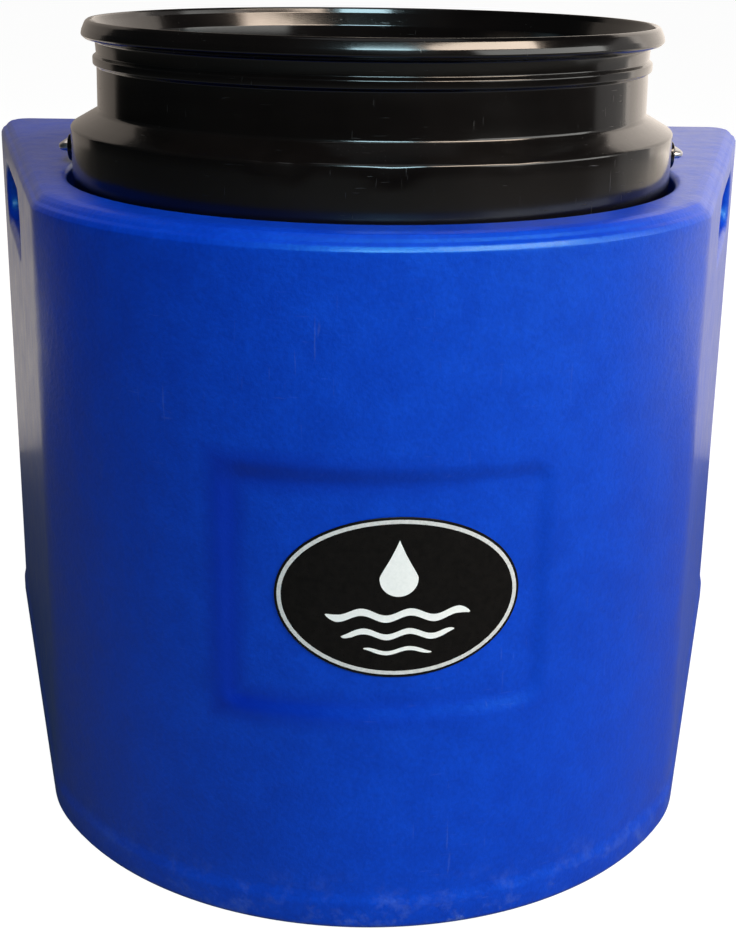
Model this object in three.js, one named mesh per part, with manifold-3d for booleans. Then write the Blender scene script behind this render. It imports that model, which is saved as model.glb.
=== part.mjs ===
// Insulated flat-back bucket holder with its 5 gallon pail.
//
// Frame: millimetres, +Z up. The origin is on the underside of the housing, on the axis of the
// pail. -Y is the round front, +Y the flat back.
//
// The housing is one hollow rotationally moulded skin filled with foam. The pail stands in its
// round pocket and lifts straight out. The wire bail turns in two ears on the pail, and its grip
// turns on the wire.

import * as THREE from 'three';
import { mergeVertices } from 'three/addons/utils/BufferGeometryUtils.js';
import Module from 'manifold-3d';

const wasm = await Module();
wasm.setup();

// ---------------------------------------------------------------- driving dimensions (mm)

// housing, outside
const H_TOP = 348.4;            // top deck above the base
const FRONT_R_TOP = 190;        // round front, radius at the top
const FRONT_R_BOT = 193;        // and at the base, under the foot band
const SIDE_D_TOP = 184.3;       // straight side: distance of its plane from the pail axis, top
const SIDE_D_BOT = 189.6;       // and at the base
const SIDE_ANGLE = 15.7;        // degrees that each side turns out towards the back
const BACK_Y = 221.5;           // flat back plane
const BACK_CORNER_R = 18;       // upright back corners
const TOP_EDGE_R = 10;          // rounding of the deck's outer edge
const FOOT_BAND_H = 19;         // band round the foot
const FOOT_BAND_OUT = 1.2;      // how far the band stands out
const FOOT_EDGE_R = 4.5;        // rounding under the band
const SKIN = 5;                 // wall of the moulding
const FOAM_GAP = 0.3;           // between the skin and the foam

// pocket for the pail
const POCKET_R_TOP = 162;
const POCKET_R_FLOOR = 158.5;
const POCKET_FLOOR_Z = 56;
const POCKET_LIP_R = 3.5;
const POCKET_FLOOR_FILLET = 12;

// hand-hold in each side
const HOLD_Y = 88;              // centre, measured along Y
const HOLD_Z = 309;             // centre height
const HOLD_LEN = 142;
const HOLD_H = 36;
const HOLD_CORNER = 15;
const HOLD_DEPTH = 22;
const HOLD_EDGE = 4;            // rounding of the mouth

// label recess in the front
const PANEL_MID_DEG = 2.5;      // its middle lies a little to the right of the front
const PANEL_HALF_DEG = 23;
const PANEL_Z0 = 121.5;
const PANEL_Z1 = 240;
const PANEL_DEPTH = 2;

// label
const LABEL_W = 116;
const LABEL_H = 80.5;
const LABEL_T = 0.4;
const LABEL_X = 14;             // measured round the front from its middle
const LABEL_Z = 180.8;

// fill and vent holes in the base
const FILL_X = 105;
const VENT_X = -105;
const PLUG_Y = 160;
const FILL_HOLE_R = 18.3;
const VENT_HOLE_R = 9.3;
const PLUG_FLANGE = 4;          // flange wider than the hole
const PLUG_SEAT = 2.2;          // depth of the counterbore
const PLUG_GAP = 0.3;

// pail
const PAIL_BASE_Z = POCKET_FLOOR_Z + 0.3;
const PAIL_TOP_Z = 426;
const PAIL_RIM_R = 151;
const SKIRT_R = 158.9;
const EAR_R = 7;
const EAR_OUT = 163;            // outer face of an ear from the pail axis
const PIVOT_Z = 358;

// bail
const WIRE_R = 2.1;
const WIRE_HALF = 167.4;        // half the width between the arms, wire centres
const BAIL_REACH = 187;         // from the pivot to the grip
const BAIL_STRAIGHT = 48;       // half the straight length under the grip
const BAIL_REST_DEG = 0.6;      // it lies back on the deck at this angle
const GRIP_LEN = 92;
const GRIP_R = 10;
const GRIP_END_R = 11;
const GRIP_BORE_R = WIRE_R + 0.5;

const DEG = Math.PI / 180;

// ---------------------------------------------------------------- materials

const BLUE = new THREE.MeshStandardMaterial({ color: 0x0a34a8, roughness: 0.42, metalness: 0 });
const FOAM = new THREE.MeshStandardMaterial({ color: 0xd9c98c, roughness: 0.95, metalness: 0 });
const PLUG = new THREE.MeshStandardMaterial({ color: 0x101216, roughness: 0.6, metalness: 0 });
const BLACK = new THREE.MeshStandardMaterial({ color: 0x070707, roughness: 0.2, metalness: 0 });
const WIRE = new THREE.MeshStandardMaterial({ color: 0xb9bcc0, roughness: 0.35, metalness: 1 });
const GRIP = new THREE.MeshStandardMaterial({ color: 0x0b0b0b, roughness: 0.5, metalness: 0 });
const VINYL = new THREE.MeshStandardMaterial({ color: 0x0c0c0d, roughness: 0.35, metalness: 0 });

// ---------------------------------------------------------------- helpers

function clean(geometry) {
  const g = geometry.clone();
  g.deleteAttribute('normal');
  g.deleteAttribute('uv');
  return mergeVertices(g, 1e-4);
}

function toSolid(geometry) {
  const g = clean(geometry);
  const index = g.index ? g.index.array : null;
  return new wasm.Manifold(new wasm.Mesh({
    numProp: 3,
    vertProperties: new Float32Array(g.attributes.position.array),
    triVerts: new Uint32Array(index),
  }));
}

function toGeometry(solid) {
  const m = solid.getMesh();
  const g = new THREE.BufferGeometry();
  g.setAttribute('position', new THREE.BufferAttribute(new Float32Array(m.vertProperties), 3));
  g.setIndex(new THREE.BufferAttribute(new Uint32Array(m.triVerts), 1));
  g.computeVertexNormals();
  return g;
}

// A closed loft through rings of equal point count, counter-clockwise seen from +Z, going up.
function loft(rings) {
  const n = rings[0].length;
  const pos = [];
  for (const r of rings) for (const p of r) pos.push(p.x, p.y, p.z);
  const idx = [];
  for (let k = 0; k < rings.length - 1; k++) {
    for (let i = 0; i < n; i++) {
      const a = k * n + i, b = k * n + (i + 1) % n, c = a + n, d = b + n;
      idx.push(a, b, d, a, d, c);
    }
  }
  const cap = (k, up) => {
    const flat = rings[k].map((p) => new THREE.Vector2(p.x, p.y));
    for (const t of THREE.ShapeUtils.triangulateShape(flat, [])) {
      const [a, b, c] = t.map((i) => k * n + i);
      if (up) idx.push(a, b, c); else idx.push(a, c, b);
    }
  };
  cap(0, false);
  cap(rings.length - 1, true);
  const g = new THREE.BufferGeometry();
  g.setAttribute('position', new THREE.Float32BufferAttribute(pos, 3));
  g.setIndex(idx);
  g.computeVertexNormals();
  return g;
}

// Lathe about Z from a list of [radius, z] that starts and ends on the axis or closes on itself.
function lathe(points, segments) {
  const g = new THREE.LatheGeometry(points.map(([r, z]) => new THREE.Vector2(r, z)), segments);
  g.rotateX(Math.PI / 2);
  return g;
}

function quarter(cx, cz, r, a0, a1, n) {
  const out = [];
  for (let i = 0; i <= n; i++) {
    const a = (a0 + (a1 - a0) * i / n) * DEG;
    out.push([cx + r * Math.cos(a), cz + r * Math.sin(a)]);
  }
  return out;
}

// ---------------------------------------------------------------- housing outline

const lerp = (a, b, t) => a + (b - a) * t;
const down = (z) => 1 - z / H_TOP;                       // 0 at the deck, 1 at the base
const frontR = (z) => lerp(FRONT_R_TOP, FRONT_R_BOT, down(z));
const sideD = (z) => lerp(SIDE_D_TOP, SIDE_D_BOT, down(z));

// The D-shaped outline at height z, moved out by `out` (negative is inwards).
function outline(z, out, seg = { front: 32, side: 2, corner: 4 }) {
  const R = frontR(z) + out, d = sideD(z) + out, a = SIDE_ANGLE * DEG;
  const back = BACK_Y + out;
  const rc = Math.max(BACK_CORNER_R + out, 2);
  const phi = Math.acos(Math.min(1, d / R));
  const th = -a - phi;                                    // where front meets the right side
  const pts = [];
  for (let i = 0; i <= seg.front; i++) {
    const t = -Math.PI - th + (2 * th + Math.PI) * i / seg.front;
    pts.push(new THREE.Vector3(R * Math.cos(t), R * Math.sin(t), z));
  }
  const yc = back - rc;
  const xc = ((d - rc) + yc * Math.sin(a)) / Math.cos(a);
  const corner = [];
  for (let i = 0; i <= seg.corner; i++) {
    const t = -a + (Math.PI / 2 + a) * i / seg.corner;
    corner.push(new THREE.Vector3(xc + rc * Math.cos(t), yc + rc * Math.sin(t), z));
  }
  const from = pts[pts.length - 1];
  const right = [];
  for (let i = 1; i < seg.side; i++) right.push(from.clone().lerp(corner[0], i / seg.side));
  right.push(...corner);
  const left = right.slice().reverse().map((p) => new THREE.Vector3(-p.x, p.y, p.z));
  return [...pts, ...right, ...left];
}

function housingOuter() {
  const rings = [];
  const e = FOOT_EDGE_R, b = FOOT_BAND_OUT;
  for (let i = 0; i <= 3; i++) {                          // rounded foot
    const t = i / 3 * 90 * DEG;
    rings.push(outline(e - e * Math.cos(t), b - e + e * Math.sin(t)));
  }
  rings.push(outline(FOOT_BAND_H - 2.2, b));
  rings.push(outline(FOOT_BAND_H, 0));
  rings.push(outline(H_TOP - TOP_EDGE_R, 0));
  for (let i = 1; i <= 4; i++) {                          // rounded deck edge
    const t = i / 4 * 90 * DEG;
    rings.push(outline(H_TOP - TOP_EDGE_R + TOP_EDGE_R * Math.sin(t),
      -TOP_EDGE_R + TOP_EDGE_R * Math.cos(t)));
  }
  return loft(rings);
}

function housingInner(inset, seg) {
  return loft([
    outline(inset, -inset, seg),
    outline(H_TOP - TOP_EDGE_R, -inset, seg),
    outline(H_TOP - inset, -Math.max(TOP_EDGE_R, inset + 3), seg),
  ]);
}

// The round pocket, grown by `grow` all round, open through the top.
function pocket(grow, segments = 40) {
  const rt = POCKET_R_TOP + grow, rf = POCKET_R_FLOOR + grow, zf = POCKET_FLOOR_Z - grow;
  const f = POCKET_FLOOR_FILLET;
  const pts = [[0, zf], ...quarter(rf - f, zf + f, f, -90, 0, 3)];
  if (grow === 0) {
    const l = POCKET_LIP_R;
    pts.push(...quarter(rt + l, H_TOP - l, l, 180, 90, 3));
    pts.push([rt + l, H_TOP + 5], [0, H_TOP + 5]);
  } else {
    pts.push([rt, H_TOP + 5], [0, H_TOP + 5]);
  }
  return lathe(pts, segments);
}

// A rounded rectangle, centred, as a THREE.Shape.
function roundRect(w, h, r) {
  const s = new THREE.Shape();
  const x = w / 2, y = h / 2;
  s.moveTo(-x + r, -y);
  s.lineTo(x - r, -y); s.absarc(x - r, -y + r, r, -Math.PI / 2, 0);
  s.lineTo(x, y - r); s.absarc(x - r, y - r, r, 0, Math.PI / 2);
  s.lineTo(-x + r, y); s.absarc(-x + r, y - r, r, Math.PI / 2, Math.PI);
  s.lineTo(-x, -y + r); s.absarc(-x + r, -y + r, r, Math.PI, 1.5 * Math.PI);
  return s;
}

// Cutter for one hand-hold. side is +1 or -1. Grown by `grow` for the foam side.
function handHold(side, grow) {
  const rim = HOLD_EDGE;
  const rings = [];
  const n = 5;
  const ring = (w, h, r, depth) => {
    const pts = roundRect(w, h, Math.min(r, h / 2 - 0.5)).getPoints(n);
    if (pts[0].distanceTo(pts[pts.length - 1]) < 1e-6) pts.pop();
    return pts.map((p) => new THREE.Vector3(p.x, p.y, depth));
  };
  const w = HOLD_LEN + 2 * grow, h = HOLD_H + 2 * grow, r = HOLD_CORNER + grow;
  const D = -(HOLD_DEPTH + grow);
  rings.push(ring(w - 20, h - 14, r - 5, D));
  rings.push(ring(w - 8, h - 5, r - 2, D + 5));
  rings.push(ring(w - 4, h - 3, r, D + 12));
  if (grow === 0) {
    rings.push(ring(w, h, r, -rim));
    rings.push(ring(w + 2 * rim * 0.3, h + 2 * rim * 0.3, r + 1.5, -rim * 0.3));
    rings.push(ring(w + 2 * rim, h + 2 * rim, r + rim, 0.4));
    rings.push(ring(w + 2 * rim, h + 2 * rim, r + rim, 20));
  } else {
    rings.push(ring(w, h, r, 40));
  }
  const g = loft(rings);
  // local x runs along the side, local y is up, local z points outwards
  const a = SIDE_ANGLE * DEG;
  const d = sideD(HOLD_Z);
  const tx = Math.sin(a) * side, ty = Math.cos(a);         // along the side, towards the back
  const nx = Math.cos(a) * side, ny = -Math.sin(a);
  const m = new THREE.Matrix4();
  const along = (HOLD_Y - d * ny) / ty;
  const ox = nx * d + tx * along, oy = ny * d + ty * along;
  const xAxis = new THREE.Vector3(tx, ty, 0).multiplyScalar(side);
  m.makeBasis(xAxis, new THREE.Vector3(0, 0, 1), new THREE.Vector3(nx, ny, 0));
  m.setPosition(ox, oy, HOLD_Z);
  g.applyMatrix4(m);
  return g;
}

// Cutter for the label recess: a sector of a ring whose inner face follows the round front.
function panel(depth, half, z0, z1) {
  const s = new THREE.Shape();
  const n = 16, ref = frontR(0);
  const pts = [];
  for (let i = 0; i <= n; i++) {
    const t = (-90 + PANEL_MID_DEG - half + 2 * half * i / n) * DEG;
    pts.push([Math.cos(t), Math.sin(t)]);
  }
  const inner = ref - depth, outer = ref + 8;
  s.moveTo(inner * pts[0][0], inner * pts[0][1]);
  for (let i = 1; i <= n; i++) s.lineTo(inner * pts[i][0], inner * pts[i][1]);
  for (let i = n; i >= 0; i--) s.lineTo(outer * pts[i][0], outer * pts[i][1]);
  const g = new THREE.ExtrudeGeometry(s, { depth: z1 - z0, bevelEnabled: false, steps: 1 });
  g.translate(0, 0, z0);
  const p = g.attributes.position;
  for (let i = 0; i < p.count; i++) {
    const k = frontR(p.getZ(i)) / ref;
    p.setX(i, p.getX(i) * k);
    p.setY(i, p.getY(i) * k);
  }
  return g;
}

function disc(x, y, r, z0, z1, segments = 24) {
  const g = new THREE.CylinderGeometry(r, r, z1 - z0, segments);
  g.rotateX(Math.PI / 2);
  g.translate(x, y, (z0 + z1) / 2);
  return g;
}

const INNER_SEG = { front: 20, side: 1, corner: 2 };

function makeShell() {
  let body = toSolid(housingOuter());
  body = body.subtract(toSolid(pocket(0)));
  for (const s of [1, -1]) body = body.subtract(toSolid(handHold(s, 0)));
  body = body.subtract(toSolid(panel(PANEL_DEPTH, PANEL_HALF_DEG, PANEL_Z0, PANEL_Z1)));

  body = body.subtract(hollow(SKIN));

  // fill and vent holes with a counterbore for each plug
  for (const [x, r] of [[FILL_X, FILL_HOLE_R], [VENT_X, VENT_HOLE_R]]) {
    body = body.subtract(toSolid(disc(x, PLUG_Y, r, -2, SKIN + 2)));
    body = body.subtract(toSolid(disc(x, PLUG_Y, r + PLUG_FLANGE + PLUG_GAP, -2, PLUG_SEAT)));
  }
  return toGeometry(body);
}

// The hollow of the skin, `inset` inside every outer face.
function hollow(inset) {
  let h = toSolid(housingInner(inset, INNER_SEG));
  h = h.subtract(toSolid(pocket(inset, 28)));
  for (const s of [1, -1]) h = h.subtract(toSolid(handHold(s, inset)));
  h = h.subtract(toSolid(panel(PANEL_DEPTH + inset, PANEL_HALF_DEG + 1.5,
    PANEL_Z0 - inset, PANEL_Z1 + inset)));
  return h;
}

function makePlug(x, holeR) {
  const f = holeR + PLUG_FLANGE, s = holeR - PLUG_GAP;
  const g = lathe([
    [0, 0.5], [f - 1, 0.5], [f, 1.2], [f, PLUG_SEAT - PLUG_GAP],
    [s, PLUG_SEAT - PLUG_GAP], [s, SKIN - 0.4], [s - 2, SKIN - 0.2],
    [s - 3, PLUG_SEAT + 0.4], [0, PLUG_SEAT + 0.4],
  ], 24);
  g.translate(x, PLUG_Y, 0);
  return g;
}

// ---------------------------------------------------------------- pail

const PAIL_PROFILE = [
  [0, PAIL_BASE_Z + 3.5], [120, PAIL_BASE_Z + 3.5], [123, PAIL_BASE_Z + 1.5],
  [126, PAIL_BASE_Z], [130, PAIL_BASE_Z], [132.5, PAIL_BASE_Z + 2.5], [133, PAIL_BASE_Z + 8],
  [143.2, 338], [143.6, 368], [145.2, 373.2], [150, 373.4],       // wall, roof of the skirt
  [156.5, 369.8], [156.6, 344], [157.7, 343.3], [158.9, 344.2],   // inside and foot of the skirt
  [SKIRT_R, 371.4], [158, 373.2], [146.2, 379.8], [144.3, 382.2], // shoulder
  [144.0, 402.2], [145.9, 404.0], [145.9, 407.4], [144.1, 409.2],   // ring bead
  [144.6, 416.2], [149.8, 418.2], [PAIL_RIM_R, 420.2], [PAIL_RIM_R, 423.4],
  [149.9, 425.6], [148.6, PAIL_TOP_Z], [147, 425.4], [145.9, 423],  // rolled rim
  [142.2, 415.6], [141.5, 404], [141.6, 383], [141.2, 340],         // inside
  [130.4, PAIL_BASE_Z + 9], [127, PAIL_BASE_Z + 6], [0, PAIL_BASE_Z + 6],
];

function makePail() {
  let s = toSolid(lathe(PAIL_PROFILE, 36));
  for (const side of [1, -1]) {
    const boss = new THREE.CylinderGeometry(EAR_R, EAR_R + 0.8, EAR_OUT - 157.6, 20);
    boss.rotateZ(-Math.PI / 2 * side);
    boss.translate(side * (EAR_OUT + 157.6) / 2, 0, PIVOT_Z);
    s = s.add(toSolid(boss));
    const hole = new THREE.CylinderGeometry(WIRE_R + 0.35, WIRE_R + 0.35, 14, 16);
    hole.rotateZ(Math.PI / 2);
    hole.translate(side * 160, 0, PIVOT_Z);
    s = s.subtract(toSolid(hole));
  }
  return toGeometry(s);
}

// ---------------------------------------------------------------- bail

// Centre line in the bail's own plane: x across, y from the pivot towards the grip.
function bailCurve() {
  const half = [];
  const bend = 5;
  half.push([WIRE_HALF - 13.2, 0], [WIRE_HALF - 9, 0], [WIRE_HALF - bend, 0]);
  for (let i = 1; i <= 4; i++) {
    const t = (-90 + 90 * i / 4) * DEG;
    half.push([WIRE_HALF - bend + bend * Math.cos(t), bend + bend * Math.sin(t)]);
  }
  const y0 = 12, a = WIRE_HALF - BAIL_STRAIGHT, b = BAIL_REACH - y0;
  for (let i = 0; i <= 12; i++) {
    const t = 90 * i / 12 * DEG;
    half.push([BAIL_STRAIGHT + a * Math.cos(t), y0 + b * Math.sin(t)]);
  }
  half.push([BAIL_STRAIGHT * 0.5, BAIL_REACH]);
  const other = half.slice().reverse().map(([x, y]) => [-x, y]);
  const all = [...half, [0, BAIL_REACH], ...other];
  return all.map(([x, y]) => new THREE.Vector3(x, y, 0));
}

// A round wire along points that lie in one plane.
function makeWire() {
  const pts = bailCurve();
  const n = 8;
  const rings = [];
  for (let k = 0; k < pts.length; k++) {
    const p = pts[k];
    const a = pts[Math.max(0, k - 1)], b = pts[Math.min(pts.length - 1, k + 1)];
    const inDir = p.clone().sub(a), outDir = b.clone().sub(p);
    if (k === 0) inDir.copy(outDir);
    if (k === pts.length - 1) outDir.copy(inDir);
    const t = inDir.normalize().add(outDir.normalize()).normalize();
    const side = new THREE.Vector3(-t.y, t.x, 0);           // in the plane, across the wire
    const ring = [];
    for (let i = 0; i < n; i++) {
      const w = i / n * 2 * Math.PI;
      ring.push(p.clone().addScaledVector(side, WIRE_R * Math.cos(w))
        .add(new THREE.Vector3(0, 0, WIRE_R * Math.sin(w))));
    }
    rings.push(ring);
  }
  const pos = [], idx = [];
  for (const r of rings) for (const p of r) pos.push(p.x, p.y, p.z);
  for (let k = 0; k < rings.length - 1; k++) {
    for (let i = 0; i < n; i++) {
      const a = k * n + i, b = k * n + (i + 1) % n, c = a + n, d = b + n;
      idx.push(a, b, d, a, d, c);
    }
  }
  for (let i = 1; i < n - 1; i++) {
    idx.push(0, i + 1, i);
    const e = (rings.length - 1) * n;
    idx.push(e, e + i, e + i + 1);
  }
  const g = new THREE.BufferGeometry();
  g.setAttribute('position', new THREE.Float32BufferAttribute(pos, 3));
  g.setIndex(idx);
  g.computeVertexNormals();
  return g;
}

function makeGrip() {
  const h = GRIP_LEN / 2;
  const g = lathe([
    [GRIP_BORE_R, -h], [GRIP_R - 1, -h], [GRIP_END_R, -h + 1.5], [GRIP_END_R, -h + 5],
    [GRIP_R, -h + 8], [GRIP_R - 0.8, 0], [GRIP_R, h - 8], [GRIP_END_R, h - 5],
    [GRIP_END_R, h - 1.5], [GRIP_R - 1, h], [GRIP_BORE_R, h], [GRIP_BORE_R, -h],
  ], 20);
  g.rotateY(Math.PI / 2);
  g.translate(0, BAIL_REACH, 0);
  return g;
}

// ---------------------------------------------------------------- label

// A thin oval that follows the round front, built in upright strips.
function makeLabel() {
  const n = 30;
  const inner = frontR(LABEL_Z) - PANEL_DEPTH + 0.35, outer = inner + LABEL_T;
  const place = (u, w, r) => {
    const z = LABEL_Z + w;
    const t = -90 * DEG + u / inner;
    const k = frontR(z) / frontR(LABEL_Z) * r;
    return new THREE.Vector3(k * Math.cos(t), k * Math.sin(t), z);
  };
  const rings = [];
  for (let i = 0; i <= n; i++) {
    const t = Math.PI * (i + 0.5) / (n + 1);
    const u = -LABEL_W / 2 * Math.cos(t), w = LABEL_H / 2 * Math.sin(t);
    rings.push([place(u + LABEL_X, -w, inner), place(u + LABEL_X, w, inner),
      place(u + LABEL_X, w, outer), place(u + LABEL_X, -w, outer)]);
  }
  const pos = [], idx = [];
  for (const r of rings) for (const p of r) pos.push(p.x, p.y, p.z);
  for (let k = 0; k < rings.length - 1; k++) {
    for (let i = 0; i < 4; i++) {
      const a = k * 4 + i, b = k * 4 + (i + 1) % 4, c = a + 4, d = b + 4;
      idx.push(a, b, d, a, d, c);
    }
  }
  idx.push(0, 2, 1, 0, 3, 2);
  const e = (rings.length - 1) * 4;
  idx.push(e, e + 1, e + 2, e, e + 2, e + 3);
  const g = new THREE.BufferGeometry();
  g.setAttribute('position', new THREE.Float32BufferAttribute(pos, 3));
  g.setIndex(idx);
  g.computeVertexNormals();
  return g;
}

// ---------------------------------------------------------------- assembly

function mesh(name, geometry, material) {
  const m = new THREE.Mesh(geometry, material);
  m.name = name;
  return m;
}

const holder = new THREE.Group();

const housing = new THREE.Group();
housing.add(mesh('housing_shell', makeShell(), BLUE));
housing.add(mesh('foam_core', toGeometry(hollow(SKIN + FOAM_GAP)), FOAM));
housing.add(mesh('fill_plug', makePlug(FILL_X, FILL_HOLE_R), PLUG));
housing.add(mesh('vent_plug', makePlug(VENT_X, VENT_HOLE_R), PLUG));
housing.add(mesh('oval_label', makeLabel(), VINYL));
holder.add(housing);

const pailGroup = new THREE.Group();
pailGroup.add(mesh('pail', makePail(), BLACK));
const bail = new THREE.Group();
bail.position.set(0, 0, PIVOT_Z);
bail.rotation.x = BAIL_REST_DEG * DEG;
bail.add(mesh('bail_wire', makeWire(), WIRE));
bail.add(mesh('bail_grip', makeGrip(), GRIP));
pailGroup.add(bail);
holder.add(pailGroup);

export default holder;
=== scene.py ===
"""Looks of the insulated bucket holder and its pail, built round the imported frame."""

import math

import bpy
import numpy as np
from mathutils import Matrix, Vector


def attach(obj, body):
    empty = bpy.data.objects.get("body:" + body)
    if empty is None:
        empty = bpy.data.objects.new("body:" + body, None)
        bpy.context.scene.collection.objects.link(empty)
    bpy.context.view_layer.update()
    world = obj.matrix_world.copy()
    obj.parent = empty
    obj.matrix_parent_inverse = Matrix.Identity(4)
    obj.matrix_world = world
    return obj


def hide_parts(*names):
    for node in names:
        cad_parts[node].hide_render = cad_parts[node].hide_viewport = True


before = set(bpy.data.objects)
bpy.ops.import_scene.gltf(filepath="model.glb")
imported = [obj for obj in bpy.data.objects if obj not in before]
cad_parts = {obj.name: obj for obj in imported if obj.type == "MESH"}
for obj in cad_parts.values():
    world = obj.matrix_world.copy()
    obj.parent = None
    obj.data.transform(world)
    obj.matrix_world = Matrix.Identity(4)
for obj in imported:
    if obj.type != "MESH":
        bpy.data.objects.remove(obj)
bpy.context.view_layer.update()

MM = 0.001

# ------------------------------------------------------------------ dimensions (mm), as in the CAD

H_TOP = 348.4
FRONT_R_TOP, FRONT_R_BOT = 190.0, 193.0
SIDE_D_TOP, SIDE_D_BOT = 184.3, 189.6
SIDE_A = math.radians(15.7)
BACK_Y = 221.5
CORNER_R = 18.0
SHOULDER_TOP, SHOULDER_BOT = 42.0, 100.0   # soft meeting of the round front and each straight side
TOP_R = 10.0
BAND_H, BAND_OUT, FOOT_R = 19.0, 1.1, 4.5

POCKET_RT, POCKET_RF, POCKET_Z = 162.0, 158.5, 56.0
LIP_R, FLOOR_R = 3.5, 12.0

HOLD_Y, HOLD_Z, HOLD_L, HOLD_H, HOLD_C, HOLD_D = 88.0, 309.0, 142.0, 36.0, 15.0, 22.0

PANEL_MID, PANEL_HALF, PANEL_Z0, PANEL_Z1, PANEL_D = 2.5, 23.0, 121.5, 240.0, 2.0
PANEL_SLOPE = 13.0
LABEL_W, LABEL_H, LABEL_X, LABEL_Z, LABEL_T = 116.0, 80.5, 14.0, 180.8, 0.4

PIVOT_Z = 358.0
REST = math.radians(0.6)
WIRE_R, WIRE_HALF, REACH, STRAIGHT = 2.1, 167.4, 187.0, 48.0


# ------------------------------------------------------------------ mesh helpers

def smoother(x):
    x = min(1.0, max(0.0, x))
    return x * x * x * (x * (6 * x - 15) + 10)


def make_object(name, verts_mm, faces, sharp=None, smooth=True):
    me = bpy.data.meshes.new(name)
    me.from_pydata([tuple(c * MM for c in v) for v in verts_mm], [], faces)
    me.validate()
    me.update()
    ob = bpy.data.objects.new(name, me)
    bpy.context.scene.collection.objects.link(ob)
    if smooth:
        me.polygons.foreach_set("use_smooth", [True] * len(me.polygons))
    if sharp:
        me.set_sharp_from_angle(angle=math.radians(sharp))
    return ob


def grid_faces(rows, cols, closed=True, flip=False, skip=None):
    faces = []
    for k in range(rows - 1):
        for i in range(cols if closed else cols - 1):
            if skip and skip(k, i):
                continue
            a, b = k * cols + i, k * cols + (i + 1) % cols
            c, d = a + cols, b + cols
            faces.append((a, c, d, b) if flip else (a, b, d, c))
    return faces


def filleted(points, steps=6):
    """A profile of (r, z, fillet radius) corners, as a fine list of (r, z)."""
    out = []
    n = len(points)
    for i, (x, y, rad) in enumerate(points):
        if rad <= 0 or i == 0 or i == n - 1:
            out.append((x, y))
            continue
        p = np.array([x, y], float)
        a = np.array(points[i - 1][:2], float) - p
        b = np.array(points[i + 1][:2], float) - p
        la, lb = np.linalg.norm(a), np.linalg.norm(b)
        a, b = a / la, b / lb
        ang = math.acos(max(-1, min(1, float(a @ b))))
        if ang > math.radians(178):
            out.append((x, y))
            continue
        t = min(rad / math.tan(ang / 2), 0.49 * la, 0.49 * lb)
        r = t * math.tan(ang / 2)
        c = p + (a + b) / np.linalg.norm(a + b) * (r / math.sin(ang / 2))
        s, e = p + a * t - c, p + b * t - c
        a0, a1 = math.atan2(s[1], s[0]), math.atan2(e[1], e[0])
        da = (a1 - a0 + math.pi) % (2 * math.pi) - math.pi
        m = max(2, int(steps * abs(da) / (math.pi / 2)) + 2)
        for k in range(m + 1):
            w = a0 + da * k / m
            out.append((c[0] + r * math.cos(w), c[1] + r * math.sin(w)))
    return out


def densify(pts, step):
    out = [pts[0]]
    for (x0, y0), (x1, y1) in zip(pts[:-1], pts[1:]):
        m = max(1, int(math.hypot(x1 - x0, y1 - y0) / step))
        for k in range(1, m + 1):
            out.append((x0 + (x1 - x0) * k / m, y0 + (y1 - y0) * k / m))
    return out


def lathe(name, profile, segments, axis="Z", sharp=None):
    """A closed lathe. The profile runs from axis to axis, or is closed when both ends are equal."""
    closed = math.hypot(profile[0][0] - profile[-1][0], profile[0][1] - profile[-1][1]) < 1e-6
    prof = profile[:-1] if closed else profile
    verts, faces, rows = [], [], []
    for r, z in prof:
        if r < 1e-6:
            rows.append([len(verts)])
            verts.append((0.0, 0.0, z))
        else:
            rows.append(list(range(len(verts), len(verts) + segments)))
            for i in range(segments):
                w = 2 * math.pi * i / segments
                verts.append((r * math.cos(w), r * math.sin(w), z))
    pairs = list(zip(rows[:-1], rows[1:]))
    if closed:
        pairs.append((rows[-1], rows[0]))
    for lo, hi in pairs:
        for i in range(segments):
            j = (i + 1) % segments
            if len(lo) == 1 and len(hi) == 1:
                continue
            if len(lo) == 1:
                faces.append((lo[0], hi[j], hi[i]))
            elif len(hi) == 1:
                faces.append((lo[i], lo[j], hi[0]))
            else:
                faces.append((lo[i], lo[j], hi[j], hi[i]))
    area = sum(a[0] * b[1] - b[0] * a[1] for a, b in zip(prof, prof[1:] + prof[:1]))
    if area < 0:
        faces = [tuple(reversed(f)) for f in faces]
    if axis == "X":
        verts = [(z, y, -x) for x, y, z in verts]
    return make_object(name, verts, faces, sharp=sharp)


def boolean(target, tool, operation):
    m = target.modifiers.new("cut", "BOOLEAN")
    m.operation, m.object, m.solver = operation, tool, "EXACT"
    bpy.context.view_layer.update()
    dg = bpy.context.evaluated_depsgraph_get()
    me = bpy.data.meshes.new_from_object(target.evaluated_get(dg))
    target.modifiers.remove(m)
    old = target.data
    target.data = me
    bpy.data.meshes.remove(old)
    bpy.data.objects.remove(tool)
    return target


# ------------------------------------------------------------------ housing

def front_r(z):
    return FRONT_R_TOP + (FRONT_R_BOT - FRONT_R_TOP) * (1 - z / H_TOP)


def side_d(z):
    return SIDE_D_TOP + (SIDE_D_BOT - SIDE_D_TOP) * (1 - z / H_TOP)


BETAS = []
b = -50.0
while b < 50.001:
    BETAS.append(b)
    fine = (-24.5 <= b < -16.5) or (21.5 <= b < 29.5)
    b = round(b + (0.5 if fine else 1.6), 3)
    if b > 50:
        break
BETAS = [-56.0, -53.0] + BETAS + [53.0, 56.0]

N_FIL = 8
SIDE_FRONT = 14
HOLD_COLS = 48
SIDE_BACK = 5
HOLD_Y0, HOLD_Y1 = 4.0, 172.0
N_COR = 9
N_BACK = 52
HOLD_ROWS = 20
HOLD_Z0, HOLD_Z1 = 281.0, 337.0


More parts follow.
